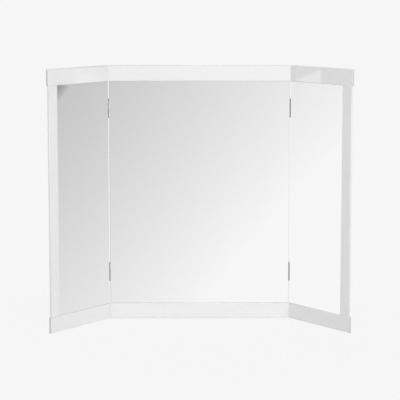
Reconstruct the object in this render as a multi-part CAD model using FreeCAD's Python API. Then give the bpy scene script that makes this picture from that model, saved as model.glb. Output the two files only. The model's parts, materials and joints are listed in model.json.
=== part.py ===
import FreeCAD, Part
import math
import os

# A triple dressing table mirror: a centre panel and two wings that fold forward on butt hinges.
# Millimetres and degrees. X runs to the right, Y to the back and Z up from the table.
# The panels are drawn flat, with the hinge pins at Y = 0, and the wings are then turned to their rest angle.

V = FreeCAD.Vector
UP = V(0, 0, 1)
ACROSS = V(1, 0, 0)
ORIGIN = V(0, 0, 0)

# Panels
panel_height = 550.0
pin_spacing = 389.0
rest_angle = 53.0
meeting_gap = 1.5
seam_gap = 0.4
fold_gap = 0.6

# Back boards
board_thickness = 9.0
board_edge_round = 1.0
finger_reach = 15.0

# Rails and stiles
rail_height = 33.0
rail_overhang = 2.5
rail_edge_round = 0.7
stile_width = 26.2
stile_step = 0.4
stile_joint = 0.15

# Mirror glass and the tape that holds it
glass_thickness = 3.0
glass_arris = 0.3
glass_gap = 0.2
tape_thickness = 0.8
tape_width = 25.0
tape_margin = 20.0
centre_tape_strips = 3
wing_tape_strips = 2

# Hinges
hinge_length = 40.0
hinge_from_top = 91.0
hinge_from_bottom = 103.0
knuckle_count = 5
pin_radius = 0.5
pin_head_radius = 0.85
pin_head_height = 0.6
running_clearance = 0.04
leaf_thickness = 0.5
leaf_gap = 0.2
leaf_corner = 1.5
leaf_back_margin = 1.0
leaf_seat_clearance = 0.05
knuckle_clearance = 0.2
knuckle_end_gap = 0.2
glass_edge_clearance = 0.05

# Hinge screws, with a cross recess in the countersunk head
screw_spacing = 24.0
screw_head_radius = 2.0
screw_shank_radius = 1.1
screw_length = 12.0
screw_tip = 2.0
screw_clearance = 0.03
recess_span = 2.4
recess_width = 0.5
recess_depth = 0.5

# Feet under the boards
foot_radius = 3.6
foot_tread_radius = 3.0
foot_height = 1.5
foot_from_board_end = 28.0

# Depths behind the hinge pins
knuckle_radius = pin_radius + running_clearance + leaf_thickness
rail_face = fold_gap / 2
stile_face = rail_face + stile_step
glass_face = knuckle_radius + knuckle_clearance
glass_back = glass_face + glass_thickness
board_face = glass_back + tape_thickness
board_back = board_face + board_thickness
board_middle = (board_face + board_back) / 2
leaf_end = board_back - leaf_back_margin

# Heights above the table
panel_bottom = foot_height
panel_top = panel_bottom + panel_height
lower_joint = panel_bottom + rail_height
upper_joint = panel_top - rail_height
hinge_middles = {"upper": panel_top - hinge_from_top, "lower": panel_bottom + hinge_from_bottom}

# Distances from a hinge pin, across the panel
pin_x = pin_spacing / 2
seam_half = seam_gap / 2
leaf_near = leaf_gap / 2
leaf_far = leaf_near + leaf_thickness
glass_near = leaf_far + glass_edge_clearance
wing_reach = pin_x - meeting_gap / 2
stile_outer = wing_reach - rail_overhang
stile_inner = stile_outer - stile_width
glass_far = stile_inner - glass_gap
board_far = wing_reach - finger_reach

# The origin is on the table, under the middle of the box that the part fills at rest
turn = math.radians(rest_angle)
rounded_corner = rail_edge_round * (math.sin(turn) + math.cos(turn) - 1)
front_reach = rail_face * math.cos(turn) - wing_reach * math.sin(turn) + rounded_corner
mid_depth = (front_reach + board_back) / 2


def block(x0, x1, y0, y1, z0, z1):
    """A box between two corners."""
    return Part.makeBox(x1 - x0, y1 - y0, z1 - z0, V(x0, y0, z0))


def edges_at_depth(shape, depth):
    """The edges that lie in the plane at one depth."""
    return [e for e in shape.Edges if all(abs(v.Point.y - depth) < 1e-6 for v in e.Vertexes)]


def lathe(outline, base, direction):
    """A turned solid: outline is (radius, height) pairs, and the height runs from base along direction."""
    points = [V(r, 0, h) for r, h in outline]
    face = Part.Face(Part.makePolygon(points + points[:1]))
    turned = face.revolve(ORIGIN, UP, 360)
    turned.Placement = FreeCAD.Placement(base, FreeCAD.Rotation(UP, direction))
    return turned


def lacquered_bar(x0, x1, y0, z0, z1):
    """A rail or stile glued to the board, with its front edges rounded under the lacquer."""
    bar = block(x0, x1, y0, board_face, z0, z1)
    return bar.makeFillet(rail_edge_round, edges_at_depth(bar, y0))


def mirror_glass(x0, x1):
    """A pane between the rails, with a ground arris round its face."""
    pane = block(x0, x1, glass_face, glass_back, lower_joint + glass_gap, upper_joint - glass_gap)
    return pane.makeChamfer(glass_arris, edges_at_depth(pane, glass_face))


def mirror_tape(x0, x1, strips):
    """Upright strips of tape, evenly spaced between the pane and its board."""
    pitch = (x1 - x0) / strips
    middles = [x0 + pitch * (i + 0.5) for i in range(strips)]
    low = lower_joint + tape_margin
    high = upper_joint - tape_margin
    half = tape_width / 2
    return Part.makeCompound([block(m - half, m + half, glass_back, board_face, low, high) for m in middles])


def feet(middles):
    """Round feet stuck under a board, a little narrower where they tread."""
    outline = [(0, 0), (foot_tread_radius, 0), (foot_radius, foot_height), (0, foot_height)]
    return Part.makeCompound([lathe(outline, V(x, board_middle, 0), UP) for x in middles])


def screw_outline(extra):
    """Half of a countersunk screw, measured from the face of its head."""
    shank = screw_shank_radius + extra
    head = screw_head_radius + extra
    shoulder = screw_head_radius - screw_shank_radius
    end = screw_length + extra
    return [(0, 0), (head, 0), (shank, shoulder), (shank, end - screw_tip), (0, end)]


def screw_seats(pin, side):
    """Where each screw of the leaves on one side of a pin starts: side is 1 for the wing, -1 for the centre."""
    heights = [m + k * screw_spacing / 2 for m in hinge_middles.values() for k in (-1, 1)]
    return [V(pin + side * leaf_near, board_middle, z) for z in heights]


def screw(seat, side):
    """One screw, driven away from the seam."""
    body = lathe(screw_outline(0), seat, ACROSS * side)
    reach = recess_span / 2
    half = recess_width / 2
    depth = side * recess_depth
    x0, x1 = sorted((seat.x, seat.x + depth))
    slot_up = block(x0, x1, seat.y - half, seat.y + half, seat.z - reach, seat.z + reach)
    slot_across = block(x0, x1, seat.y - reach, seat.y + reach, seat.z - half, seat.z + half)
    return body.cut(slot_up.fuse(slot_across))


def screw_holes(pin, side):
    """The room that the screws on one side of a pin need in a leaf and its board."""
    outline = screw_outline(screw_clearance)
    return [lathe(outline, seat, ACROSS * side) for seat in screw_seats(pin, side)]


def leaf_seats(pin, side):
    """Shallow seats in the edge of a board, which let the leaves in."""
    near, far = sorted((pin, pin + side * leaf_far))
    half = hinge_length / 2 + leaf_seat_clearance
    back = leaf_end + leaf_seat_clearance
    return [block(near, far, 0, back, m - half, m + half) for m in hinge_middles.values()]


def back_board(x0, x1, seams):
    """A board with its back edges rounded, cut for the leaves and screws of each (pin, side) seam."""
    board = block(x0, x1, board_face, board_back, panel_bottom, panel_top)
    board = board.makeFillet(board_edge_round, edges_at_depth(board, board_back))
    for pin, side in seams:
        board = board.cut(leaf_seats(pin, side) + screw_holes(pin, side))
    return board


def hinge_leaf(middle, side):
    """A leaf with its rolled knuckles. The centre's leaf has the odd knuckles, the wing's the even ones."""
    low = middle - hinge_length / 2
    high = middle + hinge_length / 2
    near, far = sorted((pin_x + side * leaf_near, pin_x + side * leaf_far))
    plate = block(near, far, 0, leaf_end, low, high)
    plate = plate.makeFillet(leaf_corner, [e for e in edges_at_depth(plate, leaf_end) if e.Length < hinge_length / 2])
    pitch = hinge_length / knuckle_count
    first_own = 0 if side < 0 else 1
    knuckles = []
    others = []
    for k in range(knuckle_count):
        foot = low + k * pitch
        if k % 2 == first_own:
            base = V(pin_x, 0, foot + knuckle_end_gap / 2)
            knuckles.append(Part.makeCylinder(knuckle_radius, pitch - knuckle_end_gap, base))
        else:
            base = V(pin_x, 0, foot - knuckle_end_gap / 2)
            others.append(Part.makeCylinder(knuckle_radius + knuckle_clearance, pitch + knuckle_end_gap, base))
    bore = Part.makeCylinder(pin_radius + running_clearance, hinge_length, V(pin_x, 0, low))
    return plate.cut(others).fuse(knuckles).cut([bore] + screw_holes(pin_x, side)).removeSplitter()


def hinge_pin(middle):
    """A pin with a domed head at each end, which keeps the knuckles on it."""
    half = hinge_length / 2
    rim = pin_head_height / 3
    lower = [(0, -half - pin_head_height), (pin_head_radius - rim, -half - pin_head_height)]
    lower += [(pin_head_radius, -half - rim), (pin_head_radius, -half), (pin_radius, -half)]
    upper = [(r, -h) for r, h in reversed(lower)]
    return lathe(lower + upper, V(pin_x, 0, middle), UP)


def centre_panel():
    """The fixed panel. Its glass runs to both seams, so it has rails and no stiles."""
    half = pin_x - seam_half
    glass_half = pin_x - glass_near
    foot_x = half - foot_from_board_end
    seams = [(pin_x, -1), (-pin_x, 1)]
    screws = [screw(seat, side) for pin, side in seams for seat in screw_seats(pin, side)]
    return {
        "centre_back_board": back_board(-half, half, seams),
        "centre_mirror_glass": mirror_glass(-glass_half, glass_half),
        "centre_mirror_tape": mirror_tape(-glass_half, glass_half, centre_tape_strips),
        "centre_top_rail": lacquered_bar(-half, half, rail_face, upper_joint, panel_top),
        "centre_bottom_rail": lacquered_bar(-half, half, rail_face, panel_bottom, lower_joint),
        "centre_feet": feet([-foot_x, foot_x]),
        "centre_hinge_screws": Part.makeCompound(screws),
    }


def right_wing():
    """A wing, flat beside the centre panel, with a stile that overhangs its board as a finger pull."""
    near = pin_x + seam_half
    rail_end = pin_x + wing_reach
    board_end = pin_x + board_far
    glass_start = pin_x + glass_near
    glass_end = pin_x + glass_far
    stile_ends = (pin_x + stile_inner, pin_x + stile_outer)
    stile_heights = (lower_joint + stile_joint, upper_joint - stile_joint)
    foot_middles = [near + foot_from_board_end, board_end - foot_from_board_end]
    return {
        "back_board": back_board(near, board_end, [(pin_x, 1)]),
        "mirror_glass": mirror_glass(glass_start, glass_end),
        "mirror_tape": mirror_tape(glass_start, glass_end, wing_tape_strips),
        "top_rail": lacquered_bar(near, rail_end, rail_face, upper_joint, panel_top),
        "bottom_rail": lacquered_bar(near, rail_end, rail_face, panel_bottom, lower_joint),
        "outer_stile": lacquered_bar(*stile_ends, stile_face, *stile_heights),
        "feet": feet(foot_middles),
        "hinge_screws": Part.makeCompound([screw(seat, 1) for seat in screw_seats(pin_x, 1)]),
        "upper_hinge_wing_leaf": hinge_leaf(hinge_middles["upper"], 1),
        "lower_hinge_wing_leaf": hinge_leaf(hinge_middles["lower"], 1),
    }


def right_hinges():
    """The halves of the right hinges that stay on the centre panel, with the pins fixed in them."""
    pieces = {}
    for place, middle in hinge_middles.items():
        pieces[place + "_hinge_centre_leaf"] = hinge_leaf(middle, -1)
        pieces[place + "_hinge_pin"] = hinge_pin(middle)
    return pieces


def folded(shape):
    """A right wing's piece, turned forward about its hinge pins to the rest angle."""
    return shape.rotated(V(pin_x, 0, 0), UP, -rest_angle)


def mirrored(shape):
    """The same piece for the left side."""
    return shape.mirror(ORIGIN, ACROSS)


nodes = centre_panel()
right_side = {name: folded(shape) for name, shape in right_wing().items()}
right_side.update(right_hinges())
for name, shape in right_side.items():
    nodes["right_" + name] = shape
    nodes["left_" + name] = mirrored(shape)

os.makedirs("parts", exist_ok=True)
for name, shape in nodes.items():
    shape.translated(V(0, -mid_depth, 0)).exportStep(os.path.join("parts", name + ".step"))
print(f"{len(nodes)} nodes; hinge pins at x = +-{pin_x:.3f}, y = {-mid_depth:.4f}")
print(f"rail thickness {board_face - rail_face:.2f}, panel thickness {board_back - rail_face:.2f}")
print(f"foot at x = {pin_x - seam_half - foot_from_board_end:.3f}, y = {board_middle - mid_depth:.4f}")
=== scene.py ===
# %% [markdown]
# # A triple dressing table mirror
# The part is three mirror panels on white boards: a fixed centre and two wings on butt hinges.
# Its pieces are already built as solids, in metres, with the origin on the table under the middle.
# This lesson dresses them: it lights a small studio, gives every surface its finish, and models again
# the pieces whose edges catch the light.

# %% Load the solids
import json
import math

import bmesh
import bpy
from mathutils import Matrix, Vector


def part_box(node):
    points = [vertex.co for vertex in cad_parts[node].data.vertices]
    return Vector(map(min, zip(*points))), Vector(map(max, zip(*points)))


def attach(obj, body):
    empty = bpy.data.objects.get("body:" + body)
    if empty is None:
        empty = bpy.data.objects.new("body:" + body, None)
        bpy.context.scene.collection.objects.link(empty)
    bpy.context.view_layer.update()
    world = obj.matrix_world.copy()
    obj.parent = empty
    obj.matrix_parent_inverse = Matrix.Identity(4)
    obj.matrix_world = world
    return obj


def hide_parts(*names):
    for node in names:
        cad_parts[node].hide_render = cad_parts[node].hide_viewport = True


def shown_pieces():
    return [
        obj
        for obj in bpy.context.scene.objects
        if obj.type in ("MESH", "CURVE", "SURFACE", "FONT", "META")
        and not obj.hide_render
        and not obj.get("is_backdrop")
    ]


MM = 0.001
scene = bpy.context.scene
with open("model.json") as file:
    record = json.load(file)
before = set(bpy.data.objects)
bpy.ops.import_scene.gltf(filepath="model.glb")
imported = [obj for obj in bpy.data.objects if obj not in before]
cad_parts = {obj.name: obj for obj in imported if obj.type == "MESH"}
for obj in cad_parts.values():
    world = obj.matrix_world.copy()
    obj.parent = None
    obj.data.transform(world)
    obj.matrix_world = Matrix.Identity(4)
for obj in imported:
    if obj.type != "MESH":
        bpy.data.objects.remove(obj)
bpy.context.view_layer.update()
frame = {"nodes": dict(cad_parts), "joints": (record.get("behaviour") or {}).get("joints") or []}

# %% [markdown]
# ## The camera
# A product picture like this one is taken from far away with a long lens, so that upright edges stay
# nearly parallel and the wings flare only a little. The camera stands a little left of the middle and
# above the mirror, and looks down at the hinge plane.

# %% Camera
CAMERA_PLACE = Vector((-0.034, -3.361, 0.7405))
AIM_HEIGHT = 0.2613
AIM_ASIDE = 0.001
LENS = 144.16

hinge_plane = frame["joints"][0]["pos_m"][1]
aim = Vector((AIM_ASIDE, hinge_plane, AIM_HEIGHT))
camera = bpy.data.objects.new("camera", bpy.data.cameras.new("camera"))
camera.data.lens = LENS
camera.location = CAMERA_PLACE
camera.rotation_euler = (aim - CAMERA_PLACE).to_track_quat("-Z", "Y").to_euler()
scene.collection.objects.link(camera)
scene.camera = camera
scene.view_settings.view_transform = "Standard"
print("camera", round((aim - CAMERA_PLACE).length, 3), "m from the hinge plane")

# %% [markdown]
# ## Two helpers for finishes
# Colours are written as sRGB hex values, as a colour picker shows them, but shaders add up light, so one
# function turns them to linear values. The other adds one node with its settings and links, and gives back
# the output that the next node reads, so a finish reads as a short list of steps.

# %% Colour and node helpers
# A Mix node has a set of sockets for each kind of value. These are the ones for colours.
COLOUR_A = 6
COLOUR_B = 7
COLOUR_MIXED = 2


def linear(hex_colour):
    """The linear colour of an sRGB hex value, by the curve of the sRGB standard."""
    parts = [int(hex_colour[i:i + 2], 16) / 255 for i in (1, 3, 5)]
    return [p / 12.92 if p <= 0.04045 else ((p + 0.055) / 1.055) ** 2.4 for p in parts] + [1.0]


def add(tree, kind, inputs, out=0, **settings):
    """Adds a node and returns one output. An input is a value, or another node's output to link from."""
    node = tree.nodes.new("ShaderNode" + kind)
    for name, value in settings.items():
        setattr(node, name, value)
    for socket, value in inputs.items():
        if isinstance(value, bpy.types.NodeSocket):
            tree.links.new(value, node.inputs[socket])
        else:
            node.inputs[socket].default_value = value
    return node.outputs[out] if node.outputs else None


print("mid grey is", round(linear("#808080")[0], 3), "in linear light")

# %% [markdown]
# ## The studio's walls
# A mirror has no colour of its own: it shows the studio. Here that is a pale room whose light swells and
# fades softly around the walls and towards the floor, so each pane carries one slow gradient, darker at
# the upper left, and reaches plain white at the lower right. A picture of a real room would bring its own
# things into the panes, so the walls are worked out from the direction of each ray instead.

# %% Directions in the room
FRONT_ALONG_Y = -1.0

world = bpy.data.worlds.new("studio")
world.use_nodes = True
scene.world = world
tree = world.node_tree
tree.nodes.clear()
looking = add(tree, "TexCoord", {}, "Generated")
heading = add(tree, "SeparateXYZ", {0: looking}).node.outputs
ahead = add(tree, "Math", {0: heading["Y"], 1: FRONT_ALONG_Y}, operation="MULTIPLY")
round_room = add(tree, "Math", {0: heading["X"], 1: ahead}, operation="ARCTAN2")
rise = add(tree, "Math", {0: heading["Z"]}, operation="ARCSINE")
print("directions: round from the front and up from level, by", len(tree.nodes), "nodes")

# %% [markdown]
# ### The swell of light
# Levels here are shares of display white. The swell repeats once for each rest angle of a wing, because a
# wing turned by that angle looks twice as far round the room, and so the gradient runs on across all three
# panes.

# %% Swell
WALL_MIDDLE = 0.924
WALL_WHITE = 0.99
ACROSS_SWELL = 0.152
ACROSS_PERIOD = -math.radians(frame["joints"][0]["range_deg"][0])
DOWN_SWELL = 0.0954
DOWN_PERIOD = math.radians(40.0)
MIDDLE_DROP = math.radians(8.0)

across_turn = add(tree, "Math", {0: round_room, 1: math.tau / ACROSS_PERIOD}, operation="MULTIPLY")
across = add(tree, "Math", {0: across_turn}, operation="SINE")
below = add(tree, "Math", {0: rise, 1: MIDDLE_DROP}, operation="ADD")
down_turn = add(tree, "Math", {0: below, 1: -math.tau / DOWN_PERIOD}, operation="MULTIPLY")
down = add(tree, "Math", {0: down_turn}, operation="SINE")
level = add(tree, "Math", {0: across, 1: ACROSS_SWELL, 2: WALL_MIDDLE}, operation="MULTIPLY_ADD")
level = add(tree, "Math", {0: down, 1: DOWN_SWELL, 2: level}, operation="MULTIPLY_ADD")
level = add(tree, "Math", {0: level, 1: WALL_WHITE}, operation="MINIMUM")
print("room light swells every", round(math.degrees(ACROSS_PERIOD), 1), "degrees")

# %% [markdown]
# ### Greyer sides and ground
# Between the headings that the resting panes look at, the walls are greyer, most on the left, and so is
# the ground below. That gives the panes some depth from every other side. Each is a dip taken off the
# level, and a smooth lower limit keeps the two together from going dark.

# %% Sides and ground
SIDE_RATE = 0.5
SIDE_CLEAR = 0.85
SIDE_FULL = -0.6
SIDE_DIP = 0.13
SIDE_LEAN = 0.09
GROUND_TOP = math.radians(-12.2)
GROUND_FULL = math.radians(-30.0)
GROUND_DIP = 0.17
WALL_GREY = 0.64
GREY_BLEND = 0.1

side_turn = add(tree, "Math", {0: across_turn, 1: SIDE_RATE}, operation="MULTIPLY")
side = add(tree, "Math", {0: side_turn}, operation="COSINE")
side_dip = add(tree, "Math", {0: heading["X"], 1: -SIDE_LEAN, 2: SIDE_DIP}, operation="MULTIPLY_ADD")
dip = add(tree, "MapRange", {"Value": side, "From Min": SIDE_CLEAR, "From Max": SIDE_FULL,
                             "To Max": side_dip}, interpolation_type="SMOOTHSTEP")
level = add(tree, "Math", {0: level, 1: dip}, operation="SUBTRACT")
ground = add(tree, "MapRange", {"Value": rise, "From Min": GROUND_TOP, "From Max": GROUND_FULL,
                                "To Max": GROUND_DIP}, interpolation_type="SMOOTHSTEP")
level = add(tree, "Math", {0: level, 1: ground}, operation="SUBTRACT")
level = add(tree, "Math", {0: level, 1: WALL_GREY, 2: GREY_BLEND}, operation="SMOOTH_MAX")
print("walls and ground stay above", WALL_GREY, "of display white")

# %% [markdown]
# ### A dark stand
# A small dark stand far off on the right shows as the soft shade in the upper corner of the left pane.
# It is seen small and blurred, so a shade that fades evenly from its middle is enough.

# %% Stand
STAND_ROUND = math.radians(101.53)
STAND_RISE = math.radians(-3.9)
STAND_WIDTH = math.radians(0.45)
STAND_HEIGHT = math.radians(0.56)
STAND_SHADE = 0.19

off_round = add(tree, "Math", {0: round_room, 1: STAND_ROUND}, operation="SUBTRACT")
off_rise = add(tree, "Math", {0: rise, 1: STAND_RISE}, operation="SUBTRACT")
aside = add(tree, "Math", {0: off_round}, operation="ABSOLUTE")
upright = add(tree, "Math", {0: off_rise}, operation="ABSOLUTE")
off_stand = add(tree, "Math", {0: upright, 1: STAND_WIDTH / STAND_HEIGHT, 2: aside},
                operation="MULTIPLY_ADD")
shade = add(tree, "MapRange", {"Value": off_stand, "From Max": STAND_WIDTH, "To Min": STAND_SHADE,
                               "To Max": 0.0})
level = add(tree, "Math", {0: level, 1: shade}, operation="SUBTRACT")
print("stand", round(math.degrees(STAND_ROUND)), "degrees round to the right")

# %% [markdown]
# ### What each ray sees
# Only a reflected ray that has met no matt surface sees the walls. The camera itself sees plain off-white,
# and diffuse surfaces are lit by an even grey. Light this even needs no sampling of its own, and leaving
# that out keeps the narrow rails free of grain.

# %% Rays
BACKDROP = "#f6f6f6"
ROOM_LIGHT = 0.42
DISPLAY_GAMMA = 2.2
# Bounces are whole numbers, and this parts none from one.
NO_BOUNCE = 0.5

walls = add(tree, "Math", {0: level, 1: DISPLAY_GAMMA}, operation="POWER")
path = add(tree, "LightPath", {}).node.outputs
seen = add(tree, "Math", {0: path["Is Camera Ray"], 1: path["Is Transmission Ray"]}, operation="MAXIMUM")
even = add(tree, "Background", {"Color": linear("#ffffff"), "Strength": ROOM_LIGHT})
mirrored = add(tree, "Background", {"Color": walls, "Strength": 1.0})
backdrop = add(tree, "Background", {"Color": linear(BACKDROP), "Strength": 1.0})
undimmed = add(tree, "Math", {0: path["Diffuse Depth"], 1: NO_BOUNCE}, operation="LESS_THAN")
in_pane = add(tree, "Math", {0: path["Is Glossy Ray"], 1: undimmed}, operation="MULTIPLY")
lit = add(tree, "MixShader", {0: in_pane, 1: even, 2: mirrored})
shown = add(tree, "MixShader", {0: seen, 1: lit, 2: backdrop})
add(tree, "OutputWorld", {"Surface": shown})
world.cycles.sampling_method = "NONE"
print("backdrop", BACKDROP, "and", len(tree.nodes), "nodes in the room")

# %% [markdown]
# ## Lamps
# One large soft lamp stands in front, a little to the right, so the left wing is lit more than the right
# one, and a weaker one behind shapes the backs. Lamps this large give the even light of a product picture,
# with soft shadows.

# %% Lamps
LAMP_SIDE = 1.6
FRONT_PLACE = (0.75, -2.9, 1.9)
FRONT_POWER = 58.6
BACK_PLACE = (-1.4, 2.6, 2.0)
BACK_POWER = 22.0


def soft_lamp(name, place, side, power):
    """A square lamp at place, turned to the middle of the part."""
    lamp = bpy.data.lights.new(name, "AREA")
    lamp.size = side
    lamp.energy = power
    stand = bpy.data.objects.new(name, lamp)
    stand.location = place
    stand.rotation_euler = (aim - Vector(place)).to_track_quat("-Z", "Y").to_euler()
    scene.collection.objects.link(stand)
    return stand


lamps = [soft_lamp("front_lamp", FRONT_PLACE, LAMP_SIDE, FRONT_POWER),
         soft_lamp("back_lamp", BACK_PLACE, LAMP_SIDE, BACK_POWER)]
print(len(lamps), "lamps")

# %% [markdown]
# ## Floor
# The floor is pale and matt. To the camera it is the same off-white as the backdrop, with only a share of
# its real shading near the mirror, which keeps a trace of shadow in front of the panels and a fuller one
# close behind them. A matt floor alone would end in a line where it meets the backdrop, so a plain glow is
# mixed with it.

# %% Floor sheet
FLOOR_SIDE = 12.0

floor_mesh = bpy.data.meshes.new("floor")
shape = bmesh.new()
bmesh.ops.create_grid(shape, x_segments=1, y_segments=1, size=FLOOR_SIDE / 2)
shape.to_mesh(floor_mesh)
shape.free()
floor = bpy.data.objects.new("floor", floor_mesh)
scene.collection.objects.link(floor)
floor.visible_glossy = False
floor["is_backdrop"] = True
print("floor", FLOOR_SIDE, "m wide")

# %% Floor finish
SHADOW_SHARE = 0.02
SHADOW_FULL = 0.3
SHADOW_END = 0.9
BEHIND_GAIN = 22.0
BEHIND_START = hinge_plane - 2 * MM
BEHIND_FULL = hinge_plane + 20 * MM
BEHIND_SIDE = 0.3

matt_floor = bpy.data.materials.new("matt_floor")
matt_floor.use_nodes = True
tree = matt_floor.node_tree
tree.nodes.clear()
place = add(tree, "TexCoord", {}, "Object")
away = add(tree, "VectorMath", {0: place}, "Value", operation="LENGTH")
near = add(tree, "MapRange", {"Value": away, "From Min": SHADOW_FULL, "From Max": SHADOW_END,
                              "To Min": SHADOW_SHARE, "To Max": 0.0}, interpolation_type="SMOOTHSTEP")
spot = add(tree, "SeparateXYZ", {0: place}).node.outputs
back = add(tree, "MapRange", {"Value": spot["Y"], "From Min": BEHIND_START, "From Max": BEHIND_FULL,
                              "To Min": 1.0, "To Max": BEHIND_GAIN}, interpolation_type="SMOOTHSTEP")
off_middle = add(tree, "Math", {0: spot["X"]}, operation="ABSOLUTE")
behind = add(tree, "MapRange", {"Value": off_middle, "From Max": BEHIND_SIDE, "To Min": back,
                                "To Max": 1.0}, interpolation_type="SMOOTHSTEP")
kept = add(tree, "Math", {0: near, 1: behind}, operation="MULTIPLY")
unseen = add(tree, "Math", {0: 1.0, 1: add(tree, "LightPath", {}, "Is Camera Ray")}, operation="SUBTRACT")
share = add(tree, "Math", {0: kept, 1: unseen}, operation="MAXIMUM")
matt = add(tree, "BsdfDiffuse", {"Color": linear(BACKDROP)})
plain = add(tree, "Emission", {"Color": linear(BACKDROP), "Strength": 1.0})
add(tree, "OutputMaterial", {"Surface": add(tree, "MixShader", {0: share, 1: plain, 2: matt})})
floor_mesh.materials.append(matt_floor)
print("shadow kept up to", SHADOW_END, "m from the middle")

# %% [markdown]
# ## Panels lie flat first
# The wings rest at an angle, and a box along the axes can't measure a turned board. Each hinge's lower
# limit is the flat pose, in line with the centre, so turning a wing's solid by that limit lays it flat.
# New pieces are made flat, and the opposite turn puts them where the wing rests.

# %% Turns between flat and rest
BODY = {"centre": "centre_panel", "left": "left_wing", "right": "right_wing"}

to_flat = {"centre": Matrix.Identity(4)}
for joint in frame["joints"]:
    pin = Matrix.Translation(joint["pos_m"])
    swing = Matrix.Rotation(math.radians(joint["range_deg"][0]), 4, Vector(joint["axis"]))
    to_flat[joint["child"].split("_")[0]] = pin @ swing @ pin.inverted()


def flat_box(node):
    """The lowest and highest corner of a solid while its panel lies flat."""
    turn = to_flat[node.split("_")[0]]
    points = [turn @ v.co for v in frame["nodes"][node].data.vertices]
    corners = [[pick(p[i] for p in points) for i in range(3)] for pick in (min, max)]
    return Vector(corners[0]), Vector(corners[1])


wide = flat_box("left_top_rail")
print("a wing's rail is", round((wide[1].x - wide[0].x) / MM, 1), "mm long when flat")

# %% From a flat shape to a piece
def finish_piece(shape, node, finishes):
    """Turns a flat shape to its panel's rest, names it after its solid and lets it stand for that."""
    panel = node.split("_")[0]
    bmesh.ops.transform(shape, matrix=to_flat[panel].inverted(), verts=shape.verts)
    mesh = bpy.data.meshes.new("dressed_" + node)
    shape.to_mesh(mesh)
    shape.free()
    for finish in finishes:
        mesh.materials.append(finish)
    piece = bpy.data.objects.new("dressed_" + node, mesh)
    scene.collection.objects.link(piece)
    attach(piece, BODY[panel])
    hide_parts(node)
    return piece


print("panels ready:", list(to_flat))

# %% [markdown]
# ## Gloss lacquer
# The rails and stiles are MDF sprayed with high-gloss white lacquer and polished. The eye gets a clean,
# sharp reflection from the clear top, an even white below it, and on close look the orange peel that a
# spray gun leaves. A clear coat over a base with almost no shine of its own gives the first two, because
# all the gloss then comes from one polished surface, and a soft noise bump gives the third.
# The ends of the rails get a duller, finely pitted lacquer, and its grey is painted shade that darkens the
# end faces.

# %% Lacquer on the faces
LACQUER_CLOUD = 60 * MM
CLOUD_DETAIL = 3.0
ORANGE_PEEL = 4 * MM
PEEL_DETAIL = 1.0
PEEL_DEPTH = 0.0015 * MM
LACQUER_ROUGH = (0.16, 0.24)
LACQUER_IOR = 1.5
BASE_SHINE = 0.1
COAT_ROUGH = 0.005


def blank_finish(name):
    """A material with no nodes yet: returns it, its tree and the object's own coordinates."""
    material = bpy.data.materials.new(name)
    material.use_nodes = True
    tree = material.node_tree
    tree.nodes.clear()
    return material, tree, add(tree, "TexCoord", {}, "Object")


def gloss_lacquer():
    """Sprayed and polished lacquer: a sharp reflection over an even white, with faint orange peel."""
    material, tree, place = blank_finish("gloss_lacquer_on_mdf")
    cloud = add(tree, "TexNoise", {"Vector": place, "Scale": 1 / LACQUER_CLOUD, "Detail": CLOUD_DETAIL})
    peel = add(tree, "TexNoise", {"Vector": place, "Scale": 1 / ORANGE_PEEL, "Detail": PEEL_DETAIL})
    white = add(tree, "Mix", {0: cloud, COLOUR_A: linear("#f0f0f0"), COLOUR_B: linear("#f3f3f2")},
                COLOUR_MIXED, data_type="RGBA")
    gloss = add(tree, "MapRange", {"Value": cloud, "To Min": LACQUER_ROUGH[0], "To Max": LACQUER_ROUGH[1]})
    skin = add(tree, "Bump", {"Height": peel, "Distance": PEEL_DEPTH})
    look = add(tree, "BsdfPrincipled", {"Base Color": white, "Roughness": gloss, "IOR": LACQUER_IOR,
                                        "Specular IOR Level": BASE_SHINE, "Normal": skin,
                                        "Coat Weight": 1.0, "Coat Roughness": COAT_ROUGH,
                                        "Coat Normal": skin})
    add(tree, "OutputMaterial", {"Surface": look})
    return material


lacquer = gloss_lacquer()
print(lacquer.name, "with", len(lacquer.node_tree.nodes), "nodes")

# %% Lacquer with painted shade on the rail ends
# Real pores are finer. These are drawn coarse enough to show close up.
END_PORE = 0.5 * MM
PORE_DETAIL = 2.0
PORE_DEPTH = 0.03 * MM
END_ROUGH = (0.45, 0.65)


def end_lacquer_with_painted_shade():
    """Lacquer on the rail ends: duller and finely pitted, with a grey that is painted shade."""
    material, tree, place = blank_finish("lacquer_on_sawn_mdf_end")
    pores = add(tree, "TexNoise", {"Vector": place, "Scale": 1 / END_PORE, "Detail": PORE_DETAIL})
    # This grey is painted shade: it draws the end faces darker than the lacquer, as if they lay in shade.
    grey = add(tree, "Mix", {0: pores, COLOUR_A: linear("#ccccca"), COLOUR_B: linear("#d8d8d6")},
               COLOUR_MIXED, data_type="RGBA")
    gloss = add(tree, "MapRange", {"Value": pores, "To Min": END_ROUGH[0], "To Max": END_ROUGH[1]})
    skin = add(tree, "Bump", {"Height": pores, "Distance": PORE_DEPTH})
    look = add(tree, "BsdfPrincipled", {"Base Color": grey, "Roughness": gloss, "Normal": skin,
                                        "IOR": LACQUER_IOR})
    add(tree, "OutputMaterial", {"Surface": look})
    return material


sawn = end_lacquer_with_painted_shade()
print(sawn.name, "with", len(sawn.node_tree.nodes), "nodes")

# %% [markdown]
# ## Rails and stiles
# Eight lacquered bars frame the panes. Lacquer never covers a sharp edge, so each bar has its front edges
# rounded and its back edges just eased. A bevel on a plain box gives that, in a few clean faces whose
# small rounds shade smoothly while the broad faces stay flat.

# %% Boxes with rounded edges
SAME_DEPTH = 0.01 * MM
FRONT_ROUND = 0.7 * MM
ROUND_STEPS = 4


def block(low, high):
    """A box between two corners, as a new shape."""
    shape = bmesh.new()
    bmesh.ops.create_cube(shape, size=1.0)
    bmesh.ops.scale(shape, vec=high - low, verts=shape.verts)
    bmesh.ops.translate(shape, vec=(low + high) / 2, verts=shape.verts)
    return shape


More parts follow.
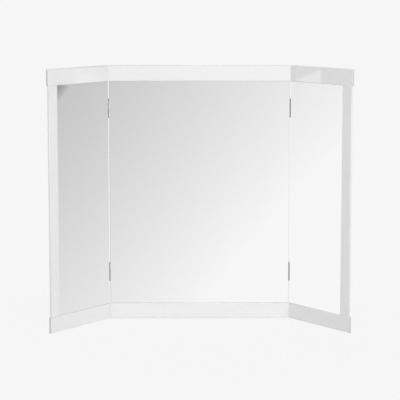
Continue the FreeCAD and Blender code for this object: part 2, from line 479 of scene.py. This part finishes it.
def round_edges(shape, depth, radius, steps):
    """Rounds the edges in the upright plane at one depth by a circular bevel. One step chamfers them."""
    edges = [e for e in shape.edges if all(abs(v.co.y - depth) < SAME_DEPTH for v in e.verts)]
    bmesh.ops.bevel(shape, geom=edges, offset=radius, offset_type="OFFSET", segments=steps, profile=0.5,
                    affect="EDGES", material=-1)
    shape.normal_update()


trial = block(*wide)
round_edges(trial, wide[0].y, FRONT_ROUND, ROUND_STEPS)
print("a box with a rounded front has", len(trial.faces), "faces")
trial.free()

# %% Lacquered bars
BACK_EASE = 0.2 * MM
EASE_STEPS = 2
# A face counts as square to an axis when its normal has this share along it.
SQUARE = 0.999
SIDES = ("left", "right")
BARS = ["centre_top_rail", "centre_bottom_rail"]
BARS += [f"{side}_{bar}" for side in SIDES for bar in ("top_rail", "bottom_rail", "outer_stile")]

bar_finishes = [lacquer, sawn]


def lacquered_bar(node):
    """One rail or stile: a rounded box, and a rail's end faces take the lacquer with painted shade."""
    low, high = flat_box(node)
    shape = block(low, high)
    round_edges(shape, low.y, FRONT_ROUND, ROUND_STEPS)
    round_edges(shape, high.y, BACK_EASE, EASE_STEPS)
    for face in shape.faces:
        face.smooth = max(abs(part) for part in face.normal) < SQUARE
        # A rail's end faces get the lacquer with painted shade.
        if node.endswith("rail") and abs(face.normal.x) > SQUARE:
            face.material_index = bar_finishes.index(sawn)
    return finish_piece(shape, node, bar_finishes)


bars = [lacquered_bar(node) for node in BARS]
print(len(bars), "bars of", len(bars[0].data.polygons), "faces")

# %% [markdown]
# ## Silvered glass
# A pane is float glass silvered on its back. What shows is the silver: a nearly perfect reflection. Glass
# and silver could be two layers, but the eye sees one reflection, so one metallic face stands for both.
# The ground rim shows the body of the glass instead, pale green and a little frosted, and the back is grey
# protective paint. One piece carries the three finishes on its own faces.

# %% Silver
SILVER_CLOUD = 90 * MM
SILVER_DETAIL = 4.0
SILVER_ROUGH = (0.0, 0.012)


def silvered_glass():
    """Silver behind float glass: a nearly perfect mirror with the faintest haze."""
    material, tree, place = blank_finish("silvered_float_glass")
    cloud = add(tree, "TexNoise", {"Vector": place, "Scale": 1 / SILVER_CLOUD, "Detail": SILVER_DETAIL})
    silver = add(tree, "Mix", {0: cloud, COLOUR_A: linear("#f7f8f7"), COLOUR_B: linear("#f9f9f9")},
                 COLOUR_MIXED, data_type="RGBA")
    haze = add(tree, "MapRange", {"Value": cloud, "To Min": SILVER_ROUGH[0], "To Max": SILVER_ROUGH[1]})
    look = add(tree, "BsdfPrincipled", {"Base Color": silver, "Roughness": haze, "Metallic": 1.0})
    add(tree, "OutputMaterial", {"Surface": look})
    return material


silver_face = silvered_glass()
print(silver_face.name, "with", len(silver_face.node_tree.nodes), "nodes")

# %% Ground rim
# The marks of a real grinding wheel are finer. These are drawn coarse enough to show close up.
GRIND = 0.4 * MM
GRIND_DETAIL = 2.0
GRIND_DEPTH = 0.02 * MM
RIM_ROUGH = (0.2, 0.42)
GLASS_IOR = 1.52


def ground_glass():
    """Glass ground with a fine wheel: pale green and frosted."""
    material, tree, place = blank_finish("ground_glass_edge")
    grind = add(tree, "TexNoise", {"Vector": place, "Scale": 1 / GRIND, "Detail": GRIND_DETAIL})
    green = add(tree, "Mix", {0: grind, COLOUR_A: linear("#c6d0cc"), COLOUR_B: linear("#d6dedb")},
                COLOUR_MIXED, data_type="RGBA")
    frost = add(tree, "MapRange", {"Value": grind, "To Min": RIM_ROUGH[0], "To Max": RIM_ROUGH[1]})
    skin = add(tree, "Bump", {"Height": grind, "Distance": GRIND_DEPTH})
    look = add(tree, "BsdfPrincipled", {"Base Color": green, "Roughness": frost, "Normal": skin,
                                        "IOR": GLASS_IOR})
    add(tree, "OutputMaterial", {"Surface": look})
    return material


rim = ground_glass()
print(rim.name, "with", len(rim.node_tree.nodes), "nodes")

# %% Backing paint
BACKING_GRAIN = 1.5 * MM
BACKING_DETAIL = 3.0
BACKING_DEPTH = 0.02 * MM
BACKING_ROUGH = (0.5, 0.65)


def backing_paint():
    """Paint that guards the silver: a dull grey with a slight grain."""
    material, tree, place = blank_finish("mirror_backing_paint")
    grain = add(tree, "TexNoise", {"Vector": place, "Scale": 1 / BACKING_GRAIN, "Detail": BACKING_DETAIL})
    grey = add(tree, "Mix", {0: grain, COLOUR_A: linear("#868c8a"), COLOUR_B: linear("#929896")},
               COLOUR_MIXED, data_type="RGBA")
    gloss = add(tree, "MapRange", {"Value": grain, "To Min": BACKING_ROUGH[0], "To Max": BACKING_ROUGH[1]})
    skin = add(tree, "Bump", {"Height": grain, "Distance": BACKING_DEPTH})
    look = add(tree, "BsdfPrincipled", {"Base Color": grey, "Roughness": gloss, "Normal": skin})
    add(tree, "OutputMaterial", {"Surface": look})
    return material


backing = backing_paint()
print(backing.name, "with", len(backing.node_tree.nodes), "nodes")

# %% Mirror panes
ARRIS = 0.3 * MM
ARRIS_STEPS = 1
PANES = [panel + "_mirror_glass" for panel in BODY]

glass_finishes = [silver_face, rim, backing]


def mirror_pane(node):
    """One pane: silver in front, paint behind, and a ground rim with its narrow arris."""
    low, high = flat_box(node)
    shape = block(low, high)
    round_edges(shape, low.y, ARRIS, ARRIS_STEPS)
    for face in shape.faces:
        facing = face.normal.y
        finish = silver_face if facing < -SQUARE else backing if facing > SQUARE else rim
        face.material_index = glass_finishes.index(finish)
    return finish_piece(shape, node, glass_finishes)


panes = [mirror_pane(node) for node in PANES]
print(len(panes), "panes; the centre one is", [round(d / MM, 1) for d in panes[0].dimensions], "mm")

# %% [markdown]
# ## Painted boards
# The boards behind are MDF with satin white paint, rolled on, which leaves a fine stipple and a soft,
# broad sheen. Their solids already have the right edges and cut-outs, so they stay and only get the paint.

# %% Board paint
PAINT_CLOUD = 120 * MM
PAINT_DETAIL = 3.0
STIPPLE = 1.6 * MM
STIPPLE_DETAIL = 2.0
STIPPLE_DEPTH = 0.05 * MM
PAINT_ROUGH = (0.38, 0.52)
PAINT_IOR = 1.48


def satin_paint():
    """Paint from a roller: a soft white with a fine stipple."""
    material, tree, place = blank_finish("satin_paint_on_mdf")
    cloud = add(tree, "TexNoise", {"Vector": place, "Scale": 1 / PAINT_CLOUD, "Detail": PAINT_DETAIL})
    stipple = add(tree, "TexNoise", {"Vector": place, "Scale": 1 / STIPPLE, "Detail": STIPPLE_DETAIL})
    white = add(tree, "Mix", {0: cloud, COLOUR_A: linear("#ebebea"), COLOUR_B: linear("#f0f0ef")},
                COLOUR_MIXED, data_type="RGBA")
    sheen = add(tree, "MapRange", {"Value": stipple, "To Min": PAINT_ROUGH[0], "To Max": PAINT_ROUGH[1]})
    skin = add(tree, "Bump", {"Height": stipple, "Distance": STIPPLE_DEPTH})
    look = add(tree, "BsdfPrincipled", {"Base Color": white, "Roughness": sheen, "Normal": skin,
                                        "IOR": PAINT_IOR})
    add(tree, "OutputMaterial", {"Surface": look})
    return material


def dress(nodes, finish):
    """Puts one finish on solids that stay as they are."""
    for node in nodes:
        slots = frame["nodes"][node].data.materials
        slots.clear()
        slots.append(finish)
    print(len(nodes), "solids in", finish.name)


dress([panel + "_back_board" for panel in BODY], satin_paint())

# %% [markdown]
# ## Hinges and screws
# The butt hinges are satin nickel: pressed steel, brushed along its length and plated. From the front only
# the knuckles show, as thin dark lines in the seams. The screws are bright zinc. Both are metals, so their
# colour is in the reflection, and streaks or clouds in the roughness break it up. Their solids have every
# knuckle and recess already, so they stay and only get a finish.

# %% Hinge metal
# Real brush marks are finer. These are drawn coarse enough to show close up.
BRUSH_WIDTH = 0.3 * MM
BRUSH_STRETCH = (1.0, 1.0, 0.04)
BRUSH_DETAIL = 3.0
BRUSH_DEPTH = 0.004 * MM
NICKEL_ROUGH = (0.28, 0.42)


def satin_nickel():
    """Steel brushed along the hinge, then plated: a grey metal with soft upright streaks."""
    material, tree, place = blank_finish("satin_nickel_on_steel")
    along = add(tree, "Mapping", {"Vector": place, "Scale": BRUSH_STRETCH})
    brush = add(tree, "TexNoise", {"Vector": along, "Scale": 1 / BRUSH_WIDTH, "Detail": BRUSH_DETAIL})
    nickel = add(tree, "Mix", {0: brush, COLOUR_A: linear("#8d8c8a"), COLOUR_B: linear("#a3a2a0")},
                 COLOUR_MIXED, data_type="RGBA")
    satin = add(tree, "MapRange", {"Value": brush, "To Min": NICKEL_ROUGH[0], "To Max": NICKEL_ROUGH[1]})
    skin = add(tree, "Bump", {"Height": brush, "Distance": BRUSH_DEPTH})
    look = add(tree, "BsdfPrincipled", {"Base Color": nickel, "Roughness": satin, "Normal": skin,
                                        "Metallic": 1.0})
    add(tree, "OutputMaterial", {"Surface": look})
    return material


hinge_pieces = [node for node in frame["nodes"] if "_hinge_" in node and not node.endswith("screws")]
dress(hinge_pieces, satin_nickel())

# %% Screw metal
ZINC_CLOUD = 0.6 * MM
ZINC_DETAIL = 3.0
ZINC_ROUGH = (0.22, 0.38)


def bright_zinc():
    """Plated and passivated screws: a paler, bluer metal with a cloudy sheen."""
    material, tree, place = blank_finish("bright_zinc_on_steel")
    cloud = add(tree, "TexNoise", {"Vector": place, "Scale": 1 / ZINC_CLOUD, "Detail": ZINC_DETAIL})
    zinc = add(tree, "Mix", {0: cloud, COLOUR_A: linear("#b9bec2"), COLOUR_B: linear("#cbced0")},
               COLOUR_MIXED, data_type="RGBA")
    satin = add(tree, "MapRange", {"Value": cloud, "To Min": ZINC_ROUGH[0], "To Max": ZINC_ROUGH[1]})
    look = add(tree, "BsdfPrincipled", {"Base Color": zinc, "Roughness": satin, "Metallic": 1.0})
    add(tree, "OutputMaterial", {"Surface": look})
    return material


dress([panel + "_hinge_screws" for panel in BODY], bright_zinc())

# %% [markdown]
# ## Foam tape
# Strips of white foam tape hold the panes. Only their thin edges could ever be seen, so a matt white with
# the fine cells of the foam is enough.

# %% Tape
# Real cells are finer. These are drawn coarse enough to show close up.
FOAM_CELL = 0.5 * MM
CELL_DETAIL = 1.0
CELL_DEPTH = 0.1 * MM
FOAM_ROUGH = (0.8, 0.95)


def foam_tape():
    """Closed-cell foam: a matt white broken by small cells."""
    material, tree, place = blank_finish("white_foam_tape")
    cells = add(tree, "TexNoise", {"Vector": place, "Scale": 1 / FOAM_CELL, "Detail": CELL_DETAIL})
    white = add(tree, "Mix", {0: cells, COLOUR_A: linear("#dcdcd8"), COLOUR_B: linear("#ececea")},
                COLOUR_MIXED, data_type="RGBA")
    matt = add(tree, "MapRange", {"Value": cells, "To Min": FOAM_ROUGH[0], "To Max": FOAM_ROUGH[1]})
    skin = add(tree, "Bump", {"Height": cells, "Distance": CELL_DEPTH})
    look = add(tree, "BsdfPrincipled", {"Base Color": white, "Roughness": matt, "Normal": skin})
    add(tree, "OutputMaterial", {"Surface": look})
    return material


dress([panel + "_mirror_tape" for panel in BODY], foam_tape())

# %% [markdown]
# ## Silicone feet
# Two clear silicone bumpers stick under each board. They are soft mouldings with a flat tread and sides
# that widen upwards. A cylinder could be cut to that, but a short outline spun round the foot's own axis
# shows the shape at a glance.

# %% Silicone
SILICONE_SKIN = 0.8 * MM
SKIN_DETAIL = 2.0
SKIN_DEPTH = 0.02 * MM
SILICONE_ROUGH = (0.3, 0.45)
SILICONE_IOR = 1.41
SILICONE_CLEAR = 0.6


def clear_silicone():
    """Soft moulded rubber: milky and half clear, with a satin skin."""
    material, tree, place = blank_finish("clear_silicone")
    skin = add(tree, "TexNoise", {"Vector": place, "Scale": 1 / SILICONE_SKIN, "Detail": SKIN_DETAIL})
    milky = add(tree, "Mix", {0: skin, COLOUR_A: linear("#e2e5e5"), COLOUR_B: linear("#eceeee")},
                COLOUR_MIXED, data_type="RGBA")
    satin = add(tree, "MapRange", {"Value": skin, "To Min": SILICONE_ROUGH[0],
                                   "To Max": SILICONE_ROUGH[1]})
    relief = add(tree, "Bump", {"Height": skin, "Distance": SKIN_DEPTH})
    look = add(tree, "BsdfPrincipled", {"Base Color": milky, "Roughness": satin, "Normal": relief,
                                        "IOR": SILICONE_IOR, "Transmission Weight": SILICONE_CLEAR})
    add(tree, "OutputMaterial", {"Surface": look})
    return material


silicone = clear_silicone()
print(silicone.name, "with", len(silicone.node_tree.nodes), "nodes")

# %% Feet
SPIN_STEPS = 40
TREAD_SHARE = 0.83
BULGE_SHARE = 0.6
WELD = 0.001 * MM


def bumpers(node):
    """The two feet of one panel, each spun from half its outline."""
    low, high = flat_box(node)
    radius = (high.y - low.y) / 2
    height = high.z - low.z
    tread = TREAD_SHARE * radius
    bulge = BULGE_SHARE * height
    outline = [(0, 0), (tread, 0), (radius, bulge), (radius, height), (0, height)]
    shape = bmesh.new()
    for middle in (low.x + radius, high.x - radius):
        axis = Vector((middle, low.y + radius, low.z))
        points = [shape.verts.new(axis + Vector((r, 0, h))) for r, h in outline]
        lines = [shape.edges.new(pair) for pair in zip(points, points[1:])]
        bmesh.ops.spin(shape, geom=points + lines, cent=axis, axis=(0, 0, 1), angle=math.tau,
                       steps=SPIN_STEPS, use_merge=True)
    bmesh.ops.remove_doubles(shape, verts=shape.verts, dist=WELD)
    bmesh.ops.recalc_face_normals(shape, faces=shape.faces)
    return finish_piece(shape, node, [silicone])


feet = [bumpers(panel + "_feet") for panel in BODY]
print(len(feet), "pairs of feet")

# %% [markdown]
# ## Clean reflections
# Three mirrors that face each other would show their own frames many times over. A retouched product
# picture shows none of that, so the pieces are left out of what glossy rays see, and each pane carries
# only the room's gradient.

# %% Leave the pieces out of reflections
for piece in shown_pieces():
    piece.visible_glossy = False

# %% [markdown]
# ## Light on the hinges
# The left hinges look paler than the right ones: light from the right reaches them, and the right wing
# keeps it off its own. A lamp low on the right does that. Light linking gives it to the hinges alone,
# with no diffuse share, so only the metal shows it. Reflected rays no longer see the wing, so this lamp is
# found by shadow rays alone, and the right hinges stay in the shade.

# %% Lamp for the hinges
HINGE_LAMP_PLACE = (1.8, -0.7, 0.21)
HINGE_LAMP_SIDE = 0.4
HINGE_LAMP_POWER = 32.0


def shine_only_on(stand, pieces):
    """Shows a lamp only as a reflection in a few pieces: it is unseen itself and lights nothing else."""
    stand.visible_camera = False
    stand.visible_diffuse = False
    stand.visible_transmission = False
    shiny = bpy.data.collections.new(stand.name)
    for piece in pieces:
        shiny.objects.link(piece)
    stand.light_linking.receiver_collection = shiny


hinge_lamp = soft_lamp("hinge_lamp", HINGE_LAMP_PLACE, HINGE_LAMP_SIDE, HINGE_LAMP_POWER)
hinge_lamp.data.cycles.use_multiple_importance_sampling = False
shine_only_on(hinge_lamp, [frame["nodes"][node] for node in hinge_pieces])
print(len(hinge_pieces), "hinge pieces lit from the right")

# %% [markdown]
# ## Gloss on the top rails
# One reflection does show: in the polished lacquer of each wing's top rail stands the centre panel, its
# bright pane below and its own top rail above, parted by a slanting line. The panel itself is left out of
# reflections, so weak lamps as wide as its bright part lie over the pane and the rail in its place, each
# linked to one wing's top rail. Lacquer reflects far more at a glancing look, so the lamps fade for the
# rays that leave them steeply, and the reflection stays as faint from other sides as from the front.

# %% Lamps for the gloss
GLOSS_GLOW = {"left": {"centre_mirror_glass": 0.85, "centre_top_rail": 0.35},
              "right": {"centre_mirror_glass": 1.75, "centre_top_rail": 0.4}}
GLOW_TILT = {"left": math.radians(-1.5), "right": math.radians(1.5)}
GLOW_INSET = 42 * MM
GLOW_RISE = 2 * MM
GLOW_GAP = 1 * MM
GLOW_STEEP = 0.3
GLOW_SLANT = 0.7
GLOW_LEAST = 0.1


def gloss_lamp(side, node, glow):
    """A flat lamp over a piece of the centre panel, seen only in the gloss of one wing's top rail."""
    low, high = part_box(node)
    lamp = bpy.data.lights.new(f"{node}_in_{side}_top_rail", "AREA")
    lamp.shape = "RECTANGLE"
    lamp.size = high.x - low.x - 2 * GLOW_INSET
    lamp.size_y = high.z - low.z
    lamp.energy = glow * math.pi * lamp.size * lamp.size_y
    lamp.use_nodes = True
    tree = lamp.node_tree
    tree.nodes.clear()
    slant = add(tree, "LayerWeight", {}, "Facing")
    fade = add(tree, "MapRange", {"Value": slant, "From Min": GLOW_STEEP, "From Max": GLOW_SLANT,
                                  "To Min": GLOW_LEAST})
    add(tree, "OutputLight", {"Surface": add(tree, "Emission", {"Strength": fade})})
    stand = bpy.data.objects.new(lamp.name, lamp)
    stand.location = ((low.x + high.x) / 2, low.y - GLOW_GAP, (low.z + high.z) / 2 + GLOW_RISE)
    stand.rotation_euler = (-math.pi / 2, GLOW_TILT[side], 0)
    scene.collection.objects.link(stand)
    shine_only_on(stand, [bpy.data.objects[f"dressed_{side}_top_rail"]])
    return stand


glosses = [gloss_lamp(side, node, glow) for side in SIDES for node, glow in GLOSS_GLOW[side].items()]
print(len(glosses), "lamps for the gloss of the top rails")
